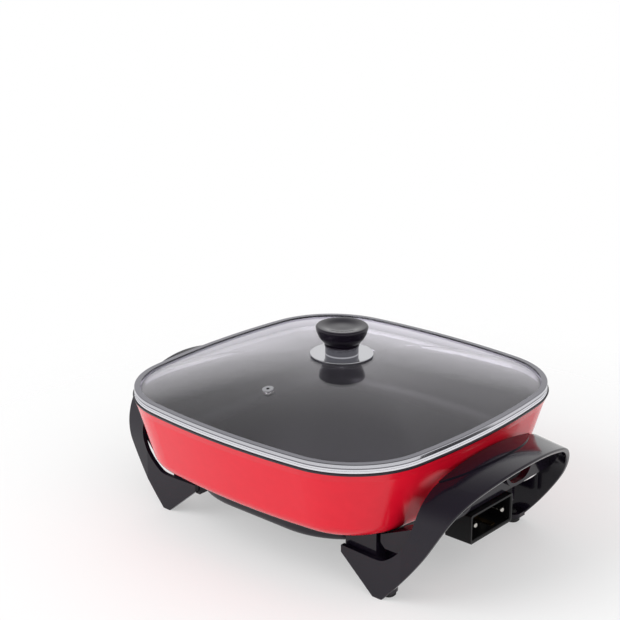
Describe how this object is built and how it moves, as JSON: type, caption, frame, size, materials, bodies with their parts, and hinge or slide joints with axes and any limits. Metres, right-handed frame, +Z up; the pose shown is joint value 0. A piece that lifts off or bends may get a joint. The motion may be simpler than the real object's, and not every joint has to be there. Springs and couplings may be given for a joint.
{
  "type": "electric cooking pot",
  "caption": "Square electric cooking pot: cast pan with bowed sides on arched handle-and-leg mouldings, side power inlet, and a loose domed glass lid with steel band and knob.",
  "frame": {"origin": "on the table under the middle of the lid", "axes": "+X to the side with the power inlet, +Z up, front faces -Y"},
  "size_m": [0.409, 0.3228, 0.1839],
  "materials": {
    "enamelled_casting": "gloss red enamel outside, dark grey non-stick coating inside",
    "heater_sheath": "satin",
    "pin_metal": "polished nickel plate",
    "ceramic": "matt",
    "black_moulding": "gloss phenolic",
    "screw_steel": "zinc plated",
    "earth_brass": "satin",
    "foot_rubber": "matt",
    "lid_glass": "clear tempered",
    "band_steel": "polished stainless",
    "knob_moulding": "gloss phenolic",
    "silicone": "translucent silicone"
  },
  "bodies": {
    "base": {"pan": "enamelled_casting", "heating_element": "heater_sheath", "terminal_pins": "pin_metal", "terminal_insulators": "ceramic", "probe_sleeve": "heater_sheath", "inlet_housing": "black_moulding", "inlet_screws": "screw_steel", "earth_strip": "earth_brass", "handle_inlet_side": "black_moulding", "handle_plain_side": "black_moulding", "handle_screws_inlet_side": "screw_steel", "handle_screws_plain_side": "screw_steel", "foot_front_right": "foot_rubber", "foot_rear_right": "foot_rubber", "foot_front_left": "foot_rubber", "foot_rear_left": "foot_rubber"},
    "lid": {"lid_glass": "lid_glass", "lid_band": "band_steel", "knob": "knob_moulding", "knob_insert": "earth_brass", "knob_plate": "band_steel", "knob_gasket": "silicone", "knob_washer": "screw_steel", "knob_screw": "screw_steel", "vent_eyelet": "band_steel", "vent_grommet": "silicone"}
  },
  "joints": [
    {"name": "lid_lift", "type": "slide", "parent": "base", "child": "lid", "axis": [0, 0, 1], "range_m": [0, 0.25]}
  ]
}
